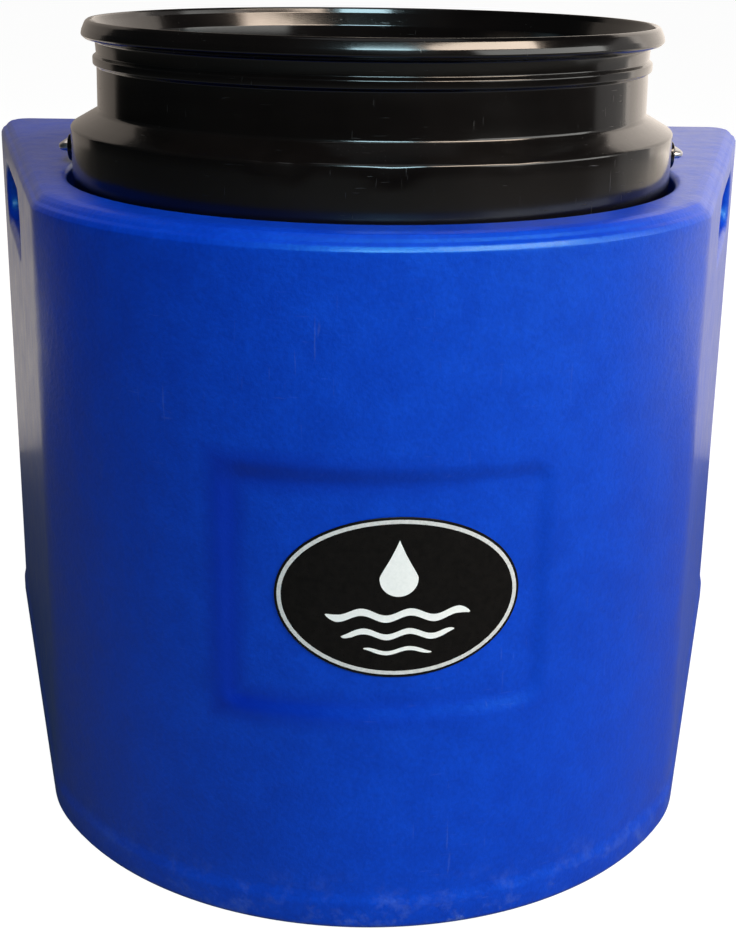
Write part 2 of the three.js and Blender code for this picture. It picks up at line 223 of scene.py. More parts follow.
def side_right(z, out):
    """Points of the right-hand half from the end of the front arc to the middle of the back."""
    R, d = front_r(z) + out, side_d(z) + out
    rj, rc, back = SHOULDER_TOP + (SHOULDER_BOT - SHOULDER_TOP) * (1 - z / H_TOP) + out, max(CORNER_R + out, 1.5), BACK_Y + out
    n = np.array([math.cos(SIDE_A), -math.sin(SIDE_A)])
    tb = np.array([math.sin(SIDE_A), math.cos(SIDE_A)])
    c = (d - rj) * n - tb * math.sqrt(max(0.0, (R - rj) ** 2 - (d - rj) ** 2))
    th1 = math.atan2(c[1], c[0])
    pts = []
    for i in range(1, N_FIL + 1):
        w = th1 + (-SIDE_A - th1) * i / N_FIL
        pts.append(c + rj * np.array([math.cos(w), math.sin(w)]))
    p0 = pts[-1]
    yc = back - rc
    xc = ((d - rc) + yc * math.sin(SIDE_A)) / math.cos(SIDE_A)
    p1 = np.array([xc, yc]) + rc * np.array([math.cos(-SIDE_A), math.sin(-SIDE_A)])
    ys = [p0[1] + (HOLD_Y0 - p0[1]) * i / SIDE_FRONT for i in range(1, SIDE_FRONT + 1)]
    ys += [HOLD_Y0 + (HOLD_Y1 - HOLD_Y0) * i / HOLD_COLS for i in range(1, HOLD_COLS + 1)]
    ys += [HOLD_Y1 + (p1[1] - HOLD_Y1) * i / SIDE_BACK for i in range(1, SIDE_BACK)]
    for y in ys:
        t = (y - p0[1]) / (p1[1] - p0[1])
        pts.append(p0 + (p1 - p0) * t)
    for i in range(N_COR + 1):
        w = -SIDE_A + (math.pi / 2 + SIDE_A) * i / N_COR
        pts.append(np.array([xc + rc * math.cos(w), yc + rc * math.sin(w)]))
    return th1, pts


def ripple(x, y, z):
    """Slow unevenness of a moulded wall, never outwards of the true face."""
    s = (math.sin(x * 0.021 + z * 0.013 + 0.4) * math.sin(z * 0.019 - y * 0.011 + 1.1)
         + 0.6 * math.sin(x * 0.043 - z * 0.031 + 2.0) * math.sin(y * 0.037 + z * 0.017))
    return -0.22 * (1 + s / 1.6)


def panel_depth(beta, z):
    R = front_r(z)
    u = math.radians(beta - PANEL_MID) * R
    w = z - (PANEL_Z0 + PANEL_Z1) / 2
    hx, hz, rc = math.radians(PANEL_HALF) * R, (PANEL_Z1 - PANEL_Z0) / 2, 9.0
    qx, qz = abs(u) - (hx - rc), abs(w) - (hz - rc)
    sd = math.hypot(max(qx, 0), max(qz, 0)) + min(max(qx, qz), 0) - rc
    return PANEL_D * smoother(0.5 - sd / PANEL_SLOPE)


def ring(z, out, wall=False):
    """One closed ring round the housing at height z, counter-clockwise, starting at the front-left."""
    th1, right = side_right(z, out)
    R = front_r(z) + out
    half = 90 + math.degrees(th1)
    pts = []
    ends = [-half] + [x for x in BETAS] + [half]
    for x in ends:
        w = math.radians(-90 + x)
        r = R - (panel_depth(x, z) if wall else 0.0)
        pts.append(np.array([r * math.cos(w), r * math.sin(w)]))
    left = [np.array([-p[0], p[1]]) for p in reversed(right)]
    a, b2 = right[-1], left[0]
    back = [a + (b2 - a) * i / N_BACK for i in range(1, N_BACK)]
    all_pts = pts + right + back + left
    if wall:
        fixed = []
        for p in all_pts:
            rr = math.hypot(p[0], p[1])
            near_back = p[1] > BACK_Y - 0.5
            k = 0.0 if near_back else ripple(p[0], p[1], z) / rr
            fixed.append(p * (1 + k))
        all_pts = fixed
    return [(p[0], p[1], z) for p in all_pts]


N_FRONT = len(BETAS) + 2
N_RIGHT = N_FIL + SIDE_FRONT + HOLD_COLS + SIDE_BACK - 1 + N_COR + 1
R_HOLD_START = N_FRONT + N_FIL + SIDE_FRONT - 1      # index of the column at HOLD_Y0, right side
R_HOLD_END = R_HOLD_START + HOLD_COLS
N_RING = N_FRONT + 2 * N_RIGHT + N_BACK - 1
L_HOLD_END = N_RING - (N_FIL + SIDE_FRONT)           # column at HOLD_Y0, left side
L_HOLD_START = L_HOLD_END - HOLD_COLS


def wall_rows():
    zs = [21.0, 23.0, 27.0]
    z = 33.0
    while z < 111:
        zs.append(z)
        z += 6.5
    z = 112.0
    while z < 131:
        zs.append(z)
        z += 1.25
    z = 136.0
    while z < 228:
        zs.append(z)
        z += 6.0
    z = 230.0
    while z < 249.5:
        zs.append(z)
        z += 1.25
    zs += [252.5, 258.5, 264.5, 270.5, 276.0]
    zs += [HOLD_Z0 + (HOLD_Z1 - HOLD_Z0) * i / HOLD_ROWS for i in range(HOLD_ROWS + 1)]
    zs += [H_TOP - TOP_R]
    return zs


def rounded_rect_point(p, q, hx, hy, r):
    """Where the point (p, q) of the unit square's edge goes on a rounded rectangle."""
    x, y = p * hx, q * hy
    cx, cy = hx - r, hy - r
    if abs(x) > cx and abs(y) > cy:
        dx, dy = abs(x) - cx, abs(y) - cy
        m = math.hypot(dx, dy)
        return math.copysign(cx + dx / m * r, x), math.copysign(cy + dy / m * r, y)
    return x, y


def hand_hold_rings():
    """(half length, half height, corner radius, depth) of each ring from the mouth to the floor."""
    hx, hy, r = HOLD_L / 2, HOLD_H / 2, HOLD_C
    out = []
    e = 4.0
    for i in range(0, 7):                               # rounded mouth
        w = math.pi / 2 * i / 6
        o, dpt = e - e * math.sin(w), e - e * math.cos(w)
        out.append((hx + o, hy + o, r + o, dpt))
    for dpt, ins in ((6.5, 0.4), (9.0, 0.9), (11.5, 1.5)):   # wall with draft
        out.append((hx - ins, hy - ins * 0.8, r - ins * 0.4, dpt))
    f = 8.0
    for i in range(0, 8):                               # soft floor corner
        w = math.pi / 2 * i / 7
        o, dpt = 1.8 + f * (1 - math.cos(w)), HOLD_D - f + f * math.sin(w)
        out.append((hx - o, hy - o * 0.8, max(r - 1 - 0.75 * o, 4.0), dpt))
    return out


def build_housing():
    verts, rows = [], []

    def add(points):
        rows.append(list(range(len(verts), len(verts) + len(points))))
        verts.extend(points)

    ang = None
    # underside, from near the axis out to the foot
    base_edge = ring(0.0, BAND_OUT - FOOT_R)
    for k in (0.15, 0.45, 0.75, 0.93):
        add([(p[0] * k, p[1] * k, 0.0) for p in base_edge])
    for i in range(0, 7):
        w = math.pi / 2 * i / 6
        add(ring(FOOT_R - FOOT_R * math.cos(w), BAND_OUT - FOOT_R + FOOT_R * math.sin(w)))
    add(ring(9.0, BAND_OUT))
    add(ring(14.0, BAND_OUT))
    for z, o in ((15.2, 1.0), (16.2, 0.84), (17.2, 0.60), (18.2, 0.36), (19.4, 0.14)):
        add(ring(z, o))
    first_wall = len(rows)
    zs = wall_rows()
    for z in zs:
        add(ring(z, 0.0, wall=True))
    block_lo = first_wall + zs.index(HOLD_Z0)
    block_hi = first_wall + zs.index(HOLD_Z1)
    rolls = densify(filleted([(0.0, H_TOP - TOP_R, 0), (-0.15, 341.2, 2.0), (-1.5, 343.6, 2.2), (-3.3, 344.7, 1.6),
                              (-4.6, 346.2, 2.2), (-6.6, 347.7, 2.4), (-TOP_R, H_TOP, 0)], 5), 0.7)[1:]
    for i, (o, z) in enumerate(rolls):
        fade = 1 - (i + 1) / len(rolls)
        pts = ring(z, o)
        add([(p[0] * (1 + ripple(*p) * fade / math.hypot(p[0], p[1]) * (0 if p[1] > BACK_Y - 12 else 1)),
              p[1] * (1 + ripple(*p) * fade / math.hypot(p[0], p[1]) * (0 if p[1] > BACK_Y - 12 else 1)),
              p[2]) for p in pts])
    deck = ring(H_TOP, -TOP_R)
    ang = [math.atan2(p[1], p[0]) for p in deck]

    def circle(r, z):
        return [(r * math.cos(w), r * math.sin(w), z) for w in ang]

    mouth = POCKET_RT + LIP_R
    for k in (0.25, 0.5, 0.75):
        c = circle(mouth, H_TOP)
        add([(p[0] + (q[0] - p[0]) * k, p[1] + (q[1] - p[1]) * k, H_TOP) for p, q in zip(deck, c)])
    for i in range(0, 9):
        w = math.pi / 2 * i / 8
        add(circle(mouth - LIP_R * math.sin(w), H_TOP - LIP_R + LIP_R * math.cos(w)))
    z_lo = POCKET_Z + FLOOR_R
    z_hi = H_TOP - LIP_R
    for i in range(1, 15):
        t = i / 14
        add(circle(POCKET_RT + (POCKET_RF - POCKET_RT) * t, z_hi + (z_lo - z_hi) * t))
    for i in range(1, 9):
        w = math.pi / 2 * i / 8
        add(circle(POCKET_RF - FLOOR_R + FLOOR_R * math.cos(w), z_lo - FLOOR_R * math.sin(w)))
    for k in (0.8, 0.5, 0.2):
        add(circle((POCKET_RF - FLOOR_R) * k, POCKET_Z))
    bottom_c = len(verts)
    verts.append((0.0, 0.0, 0.0))
    floor_c = len(verts)
    verts.append((0.0, 0.0, POCKET_Z))

    def in_block(k, i):
        if not (block_lo <= k < block_hi):
            return False
        return R_HOLD_START <= i < R_HOLD_END or L_HOLD_START <= i < L_HOLD_END

    faces = []
    for k in range(len(rows) - 1):
        for i in range(N_RING):
            if in_block(k, i):
                continue
            j = (i + 1) % N_RING
            faces.append((rows[k][i], rows[k][j], rows[k + 1][j], rows[k + 1][i]))
    for i in range(N_RING):
        j = (i + 1) % N_RING
        faces.append((bottom_c, rows[0][j], rows[0][i]))
        faces.append((floor_c, rows[-1][i], rows[-1][j]))

    # hand-holds: rings from the edge of each block down to the floor of the recess
    prof = hand_hold_rings()
    for side, c0, c1 in ((1, R_HOLD_START, R_HOLD_END), (-1, L_HOLD_START, L_HOLD_END)):
        nr, nc = block_hi - block_lo, c1 - c0
        edge = [(block_lo, c0 + i) for i in range(nc)]
        edge += [(block_lo + i, c1) for i in range(nr)]
        edge += [(block_hi, c1 - i) for i in range(nc)]
        edge += [(block_hi - i, c0) for i in range(nr)]
        outer = [rows[k][i % N_RING] for k, i in edge]
        n3 = np.array([side * math.cos(SIDE_A), -math.sin(SIDE_A), 0.0])
        t3 = np.array([side * math.sin(SIDE_A), math.cos(SIDE_A), 0.0])

        def on_side(a, w, depth):
            """Point on the side face: a mm along it from the hold's centre, w mm up, depth mm in."""
            z = HOLD_Z + w
            d = side_d(z)
            along = (HOLD_Y + d * math.sin(SIDE_A)) / math.cos(SIDE_A) + a
            p = n3 * d + t3 * along
            rip = ripple(p[0], p[1], z) * (1 - smoother(depth / 6.0))
            rr = math.hypot(p[0], p[1])
            p = p * (1 + rip / rr)
            p = p - n3 * depth
            return (p[0], p[1], z)

        # unit square parameter of each edge vertex: x along the side towards the back
        params = []
        for k, i in edge:
            v = verts[rows[k][i % N_RING]]
            a = (v[1] - HOLD_Y) / math.cos(SIDE_A)
            w = v[2] - HOLD_Z
            params.append((a, w))
        amax, amin = max(p[0] for p in params), min(p[0] for p in params)
        wmax, wmin = max(p[1] for p in params), min(p[1] for p in params)
        unit = [((2 * (a - amin) / (amax - amin) - 1), (2 * (w - wmin) / (wmax - wmin) - 1))
                for a, w in params]

        previous = outer
        hx0, hy0, r0, _ = prof[0]
        levels = []
        for k in (0.35, 0.7):                            # flat approach from the block's edge
            lvl = []
            for (a, w), (p, q) in zip(params, unit):
                x, y = rounded_rect_point(p, q, hx0, hy0, r0)
                lvl.append(on_side(a + (x - a) * k, w + (y - w) * k, 0.0))
            levels.append(lvl)
        for hx, hy, r, dpt in prof:
            levels.append([on_side(*rounded_rect_point(p, q, hx, hy, r), dpt) for p, q in unit])
        for k in (0.9, 0.75):
            hx, hy, r, dpt = prof[-1]
            levels.append([on_side(*(c * k for c in rounded_rect_point(p, q, hx, hy, r)), dpt)
                           for p, q in unit])
        for lvl in levels:
            cur = list(range(len(verts), len(verts) + len(lvl)))
            verts.extend(lvl)
            m = len(lvl)
            for i in range(m):
                j = (i + 1) % m
                faces.append((previous[i], previous[j], cur[j], cur[i]))
            previous = cur
        # floor patch over the last ring
        grid = {}
        m = len(previous)
        idx = 0
        for i in range(nc):
            grid[(0, i)] = previous[idx]; idx += 1
        for i in range(nr):
            grid[(i, nc)] = previous[idx]; idx += 1
        for i in range(nc):
            grid[(nr, nc - i)] = previous[idx]; idx += 1
        for i in range(nr):
            grid[(nr - i, 0)] = previous[idx]; idx += 1
        for k in range(1, nr):
            for i in range(1, nc):
                s, t = i / nc, k / nr
                P = lambda key: np.array(verts[grid[key]])
                v = ((1 - t) * P((0, i)) + t * P((nr, i)) + (1 - s) * P((k, 0)) + s * P((k, nc))
                     - (1 - s) * (1 - t) * P((0, 0)) - s * (1 - t) * P((0, nc))
                     - (1 - s) * t * P((nr, 0)) - s * t * P((nr, nc)))
                grid[(k, i)] = len(verts)
                verts.append(tuple(v))
        for k in range(nr):
            for i in range(nc):
                faces.append((grid[(k, i)], grid[(k, i + 1)], grid[(k + 1, i + 1)], grid[(k + 1, i)]))

    shell = make_object("housing_skin", verts, faces)

    # plug seats and the foam's hollow
    for x, r in ((105.0, 18.3), (-105.0, 9.3)):
        f = r + 4.3
        cut = lathe("cut", [(0, -3), (f + 0.8, -3), (f + 0.8, 0.0), (f, 0.8), (f, 2.2), (r, 2.2),
                            (r, 7.0), (0, 7.0)], 96)
        cut.data.transform(Matrix.Translation((x * MM, 160 * MM, 0)))
        boolean(shell, cut, "DIFFERENCE")
    hollow = bpy.data.objects.new("hollow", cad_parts["foam_core"].data.copy())
    bpy.context.scene.collection.objects.link(hollow)
    boolean(shell, hollow, "DIFFERENCE")
    shell.data.polygons.foreach_set("use_smooth", [True] * len(shell.data.polygons))
    shell.data.set_sharp_from_angle(angle=math.radians(38))
    return shell


# ------------------------------------------------------------------ pail

B = POCKET_Z + 0.3


def build_pail():
    corners = [
        (0, B + 3.5, 0), (119, B + 3.5, 3), (122.5, B + 1.0, 1.5), (125, B, 1.5), (130.4, B, 2.2),
        (133.0, B + 3.0, 3.0), (133.4, B + 12, 0), (143.2, 338, 4), (143.6, 371.5, 3.0),
        (150.0, 373.6, 3.0), (156.5, 369.6, 1.6), (156.6, 344.2, 0.6), (157.7, 343.3, 0.7),
        (158.85, 344.4, 0.7), (158.85, 373.0, 2.0), (144.6, 380.9, 2.6), (144.0, 402.8, 1.0),
        (145.9, 404.0, 0.9), (145.9, 407.6, 1.1), (144.0, 409.0, 1.0), (144.4, 415.6, 1.6),
        (149.6, 416.8, 0.8), (151.3, 418.3, 1.3), (150.7, 421.0, 3.0), (149.0, 424.7, 3.0), (147.3, 426.0, 1.2),
        (146.2, 424.9, 0.9), (145.6, 422.6, 1.6), (142.0, 415.2, 2.5), (141.5, 404, 2), (141.6, 383, 2),
        (141.2, 340, 3), (131.0, B + 9, 0), (130.4, B + 6.0, 4.0), (0, B + 6, 0),
    ]
    prof = densify(filleted(corners, 7), 5.0)
    pail = lathe("pail_shell", prof, 288)
    for side in (1, -1):
        ear = lathe("ear", filleted([(0, 157.2, 0), (7.8, 157.2, 0), (7.3, 160.4, 1.0), (7.0, 163.0, 1.1),
                                     (0, 163.0, 0)], 6), 64, axis="X")
        if side < 0:
            ear.data.transform(Matrix.Diagonal((-1, 1, 1, 1)))
            ear.data.flip_normals()
        ear.data.transform(Matrix.Translation((0, 0, PIVOT_Z * MM)))
        boolean(pail, ear, "UNION")
        hole = lathe("hole", [(0, 152.0), (WIRE_R + 0.35, 152.0), (WIRE_R + 0.35, 162.2),
                              (WIRE_R + 1.1, 163.4), (0, 163.4)], 48, axis="X")
        if side < 0:
            hole.data.transform(Matrix.Diagonal((-1, 1, 1, 1)))
            hole.data.flip_normals()
        hole.data.transform(Matrix.Translation((0, 0, PIVOT_Z * MM)))
        boolean(pail, hole, "DIFFERENCE")
    for angle, z0, depth, wide, high in ((-17.5, 376.5, 2.0, 6.5, 3.5), (-13.0, 374.0, 1.3, 5.0, 3.0),
                                         (24.0, 377.0, 1.3, 6.0, 3.0), (3.0, 373.0, 0.8, 9.0, 2.5)):
        w = math.radians(angle - 90)
        for v in pail.data.vertices:
            r = math.hypot(v.co.x, v.co.y) / MM
            if r < 147 or not 362 < v.co.z / MM < 384:
                continue
            along = ((math.atan2(v.co.y, v.co.x) - w + math.pi) % (2 * math.pi) - math.pi) * r
            k = depth * math.exp(-(along / wide) ** 2 - ((v.co.z / MM - z0) / high) ** 2)
            v.co.x *= 1 - k / r
            v.co.y *= 1 - k / r
            v.co.z -= 0.35 * k * MM
    pail.data.polygons.foreach_set("use_smooth", [True] * len(pail.data.polygons))
    pail.data.set_sharp_from_angle(angle=math.radians(32))
    return pail


# ------------------------------------------------------------------ bail

def bail_points():
    half, bend = [], 5.0
    half += [(WIRE_HALF - 13.2, 0.0), (WIRE_HALF - 10, 0.0), (WIRE_HALF - 7, 0.0), (WIRE_HALF - bend, 0.0)]
    for i in range(1, 9):
        t = math.radians(-90 + 90 * i / 8)
        half.append((WIRE_HALF - bend + bend * math.cos(t), bend + bend * math.sin(t)))
    y0 = 12.0
    a, c = WIRE_HALF - STRAIGHT, REACH - y0
    for i in range(0, 61):
        t = math.radians(90 * i / 60)
        half.append((STRAIGHT + a * math.cos(t), y0 + c * math.sin(t)))
    for x in (40, 30, 20, 10):
        half.append((float(x), REACH))
    other = [(-x, y) for x, y in reversed(half)]
    return half + [(0.0, REACH)] + other


def build_wire():
    pts = [np.array([x, y, 0.0]) for x, y in bail_points()]
    sides = 20
    verts, faces, rows = [], [], []

    def add_ring(p, across, r):
        rows.append(list(range(len(verts), len(verts) + sides)))
        for i in range(sides):
            w = 2 * math.pi * i / sides
            v = p + across * (r * math.cos(w)) + np.array([0, 0, 1.0]) * (r * math.sin(w))
            verts.append(tuple(v))

    n = len(pts)
    for k in range(n):
        a, c = pts[max(0, k - 1)], pts[min(n - 1, k + 1)]
        t = (c - a) / np.linalg.norm(c - a)
        across = np.array([-t[1], t[0], 0.0])
        if k == 0:
            for s in (0.35, 0.75):
                add_ring(pts[0] + t * (0.5 * (1 - s)), across, WIRE_R * s)
            add_ring(pts[0] + t * 0.5, across, WIRE_R)
            continue
        if k == n - 1:
            add_ring(pts[-1] - t * 0.5, across, WIRE_R)
            for s in (0.75, 0.35):
                add_ring(pts[-1] - t * (0.5 * (1 - s)), across, WIRE_R * s)
            continue
        add_ring(pts[k], across, WIRE_R)
    for lo, hi in zip(rows[:-1], rows[1:]):
        for i in range(sides):
            j = (i + 1) % sides
            faces.append((lo[i], lo[j], hi[j], hi[i]))
    faces.append(tuple(reversed(rows[0])))
    faces.append(tuple(rows[-1]))
    ob = make_object("bail_wire_bent", verts, faces, sharp=50)
    ob.data.transform(bail_place())
    return ob


def bail_place():
    return Matrix.Translation((0, 0, PIVOT_Z * MM)) @ Matrix.Rotation(REST, 4, "X")


def build_grip():
    h, bore = 46.0, WIRE_R + 0.5
    prof = [(bore, -h, 0), (8.6, -h, 0), (10.3, -h, 0.7), (10.95, -h + 1.4, 0.6), (10.95, -h + 5.0, 0.8),
            (9.6, -h + 6.6, 0.8)]
    ribs = 12
    z0, z1 = -h + 7.6, h - 7.6
    for i in range(ribs):
        a = z0 + (z1 - z0) * i / ribs
        w = (z1 - z0) / ribs
        prof += [(8.9, a + w * 0.06, 0.5), (8.9, a + w * 0.22, 0.6), (9.75, a + w * 0.40, 0.7),
                 (9.75, a + w * 0.78, 0.7), (8.9, a + w * 0.96, 0.5)]
    prof += [(9.6, h - 6.6, 0.8), (10.95, h - 5.0, 0.8), (10.95, h - 1.4, 0.6), (10.3, h, 0.7), (8.6, h, 0),
             (bore, h, 0), (bore, -h, 0)]
    ob = lathe("bail_grip_ribbed", filleted(prof, 4), 64, axis="X", sharp=40)
    ob.data.transform(Matrix.Translation((0, REACH * MM, 0)))
    ob.data.transform(bail_place())
    return ob


# ------------------------------------------------------------------ plugs

def build_plug(name, x, hole):
    f, s = hole + 4.0, hole - 0.3
    prof = [(0, 1.5, 0), (f * 0.34, 1.5, 0.6), (f * 0.40, 0.6, 0.5), (f - 1.4, 0.55, 0.8), (f, 1.1, 0.5),
            (f, 1.9, 0), (s, 1.9, 0), (s, 4.5, 0.4), (s - 2.0, 4.75, 0.3), (s - 3.0, 2.6, 0), (0, 2.6, 0)]
    ob = lathe(name, filleted(prof, 5), 96, sharp=35)
    ob.data.transform(Matrix.Translation((x * MM, 160 * MM, 0)))
    return ob


# ------------------------------------------------------------------ label

LABEL_R = front_r(LABEL_Z) - PANEL_D + 0.35


def on_label(u, w, lift):
    z = LABEL_Z + w
    t = -math.pi / 2 + u / LABEL_R
    k = front_r(z) / front_r(LABEL_Z) * (LABEL_R + lift)
    return (k * math.cos(t), k * math.sin(t), z)


def build_label():
    """The vinyl oval: a thin curved sheet whose printed ring is its own faces."""
    a, c, n = LABEL_W / 2, LABEL_H / 2, 240
    offs = [0.0, 0.15, 0.7, 1.3, 1.35, 2.3, 3.2, 3.25, 6.0, 9.0]
    scales = [0.72, 0.6, 0.48, 0.36, 0.24, 0.12]
    verts, rows, faces, mats = [], [], [], []

    def add(ea, ec, lift):
        rows.append(list(range(len(verts), len(verts) + n)))
        for i in range(n):
            w = 2 * math.pi * i / n
            verts.append(on_label(LABEL_X + ea * math.cos(w), ec * math.sin(w), lift))

    top = LABEL_T
    levels = [(0.0, 0.02)] + [(o, top if o > 0.1 else top * 0.55) for o in offs]
    for o, lift in levels:
        add(a - o, c - o, lift)
    for s in scales:
        add((a - 9) / 0.85 * s, (c - 9) / 0.85 * s, top)
    front_rows = len(rows)
    centre = len(verts)
    verts.append(on_label(LABEL_X, 0, top))
    back_c = len(verts)
    verts.append(on_label(LABEL_X, 0, 0.0))
    for k in range(front_rows - 1):
        o0 = levels[k][0] if k < len(levels) else 99
        o1 = levels[k + 1][0] if k + 1 < len(levels) else 99
        white = 1 if (o0 >= 1.3 - 1e-6 and o1 <= 3.25 + 1e-6) else 0
        for i in range(n):
            j = (i + 1) % n
            faces.append((rows[k][i], rows[k][j], rows[k + 1][j], rows[k + 1][i]))
            mats.append(white)
    for i in range(n):
        j = (i + 1) % n
        faces.append((rows[front_rows - 1][i], rows[front_rows - 1][j], centre))
        mats.append(0)
    # back face, against the recess
    back = [rows[0]]
    for s in (0.85, 0.65, 0.45, 0.25):
        back.append(list(range(len(verts), len(verts) + n)))
        for i in range(n):
            w = 2 * math.pi * i / n
            verts.append(on_label(LABEL_X + a * s * math.cos(w), c * s * math.sin(w), 0.0))
    for lo, hi in zip(back[:-1], back[1:]):
        for i in range(n):
            j = (i + 1) % n
            faces.append((lo[j], lo[i], hi[i], hi[j]))
            mats.append(0)
    for i in range(n):
        j = (i + 1) % n
        faces.append((back[-1][j], back[-1][i], back_c))
        mats.append(0)
    ob = make_object("label_oval", verts, faces, sharp=50)
    return ob, mats


def build_print(name, columns, lift=0.42, thick=0.05):
    """A printed shape from (u, low w, high w) columns, as a thin closed sheet on the label."""
    verts, faces = [], []
    for u, lo, hi in columns:
        for w, h in ((lo, lift), (hi, lift), (hi, lift + thick), (lo, lift + thick)):
            verts.append(on_label(LABEL_X + u, w, h))
    for k in range(len(columns) - 1):
        for i in range(4):
            p, q = k * 4 + i, k * 4 + (i + 1) % 4
            faces.append((p, q, q + 4, p + 4))
    faces.append((0, 3, 2, 1))
    e = (len(columns) - 1) * 4
    faces.append((e, e + 1, e + 2, e + 3))
    return make_object(name, verts, faces, sharp=30)


def emblem():
    """A plain water drop over three ripples: no letters."""
    out = []
    # drop: point up, round below
    cols = []
    R, cy, tip = 9.0, 10.0, 29.0
    n = 56
    for i in range(n + 1):
        x = -R + 2 * R * i / n
        xx = max(-R + 0.03, min(R - 0.03, x))
        lo = cy - math.sqrt(R * R - xx * xx)
        s = abs(xx) / R
        hi = cy + (tip - cy) * (1 - s) ** 1.15 * (1 - 0.25 * s) + math.sqrt(R * R - xx * xx) * 0.42 * s
        cols.append((xx, lo, max(hi, lo + 0.05)))
    out.append(build_print("label_print_drop", cols))
    for k, (half, y, amp, lam, thick) in enumerate(((34.0, -8.5, 1.7, 22.7, 3.6), (26.5, -18.0, 1.5, 21.2, 2.9), (16.0, -26.5, 1.2, 21.4, 2.0))):
        cols = []
        n = 120
        for i in range(n + 1):
            x = -half + 2 * half * i / n
            taper = min(1.0, (half - abs(x)) / 5.0)
            t = thick * math.sqrt(max(taper, 0.0)) / 2 + 0.02
            m = y + amp * math.sin(2 * math.pi * x / lam)
            cols.append((x, m - t, m + t))
        out.append(build_print(f"label_print_ripple_{k + 1}", cols))
    return out


# ------------------------------------------------------------------ materials

def new_material(name):
    m = bpy.data.materials.new(name)
    m.use_nodes = True
    nt = m.node_tree
    nt.nodes.clear()
    out = nt.nodes.new("ShaderNodeOutputMaterial")
    bsdf = nt.nodes.new("ShaderNodeBsdfPrincipled")
    nt.links.new(bsdf.outputs[0], out.inputs[0])
    return m, nt, bsdf


def node(nt, kind, **values):
    n = nt.nodes.new(kind)
    for k, v in values.items():
        if k in n.inputs.keys():
            n.inputs[k].default_value = v
        else:
            setattr(n, k, v)
    return n


def coords(nt, scale=(1, 1, 1)):
    tc = node(nt, "ShaderNodeTexCoord")
    mp = node(nt, "ShaderNodeMapping")
    mp.inputs["Scale"].default_value = scale
    nt.links.new(tc.outputs["Object"], mp.inputs["Vector"])
    return mp.outputs["Vector"]


def noise(nt, vec, scale, detail=4.0, rough=0.55):
    n = node(nt, "ShaderNodeTexNoise")
    n.inputs["Scale"].default_value = scale
    n.inputs["Detail"].default_value = detail
    n.inputs["Roughness"].default_value = rough
    nt.links.new(vec, n.inputs["Vector"])
    return n.outputs["Fac"]


def ramp(nt, fac, stops):
    r = node(nt, "ShaderNodeValToRGB")
    el = r.color_ramp.elements
    while len(el) < len(stops):
        el.new(0.5)
    for e, (p, c) in zip(el, stops):
        e.position = p
        e.color = c if len(c) == 4 else (*c, 1)
    nt.links.new(fac, r.inputs["Fac"])
    return r.outputs["Color"]


def remap(nt, fac, a, b, c, d):
    n = node(nt, "ShaderNodeMapRange")
    for k, v in zip(("From Min", "From Max", "To Min", "To Max"), (a, b, c, d)):
        n.inputs[k].default_value = v
    nt.links.new(fac, n.inputs["Value"])
    return n.outputs["Result"]


def mix(nt, fac, a, b, blend="MIX"):
    n = node(nt, "ShaderNodeMix")
    n.data_type, n.blend_type = "RGBA", blend
    if isinstance(fac, (int, float)):
        n.inputs[0].default_value = fac
    else:
        nt.links.new(fac, n.inputs[0])
    for sock, v in ((n.inputs[6], a), (n.inputs[7], b)):
        if isinstance(v, tuple):
            sock.default_value = v if len(v) == 4 else (*v, 1)
        else:
            nt.links.new(v, sock)
    return n.outputs[2]


def math_node(nt, op, a, b=None):
    n = node(nt, "ShaderNodeMath")
    n.operation = op
    for i, v in enumerate((a, b)):
        if v is None:
            continue
        if isinstance(v, (int, float)):
            n.inputs[i].default_value = v
        else:
            nt.links.new(v, n.inputs[i])
    return n.outputs[0]


def bump(nt, bsdf, layers):
    """layers: (height, strength, distance in metres), chained."""
    prev = None
    for h, strength, dist in layers:
        n = node(nt, "ShaderNodeBump")
        n.inputs["Strength"].default_value = strength
        n.inputs["Distance"].default_value = dist
        nt.links.new(h, n.inputs["Height"])
        if prev:
            nt.links.new(prev, n.inputs["Normal"])
        prev = n.outputs["Normal"]
    nt.links.new(prev, bsdf.inputs["Normal"])


def scratches(nt, stretch, scale, lo, hi, rot=(0, 0, 0)):
    """Thin random lines, as a 0 to 1 mask."""
    tc = node(nt, "ShaderNodeTexCoord")
    mp = node(nt, "ShaderNodeMapping")
    mp.inputs["Rotation"].default_value = rot
    mp.inputs["Scale"].default_value = stretch
    nt.links.new(tc.outputs["Object"], mp.inputs["Vector"])
    f = noise(nt, mp.outputs["Vector"], scale, 2.0, 0.5)
    return remap(nt, f, lo, hi, 0.0, 1.0)


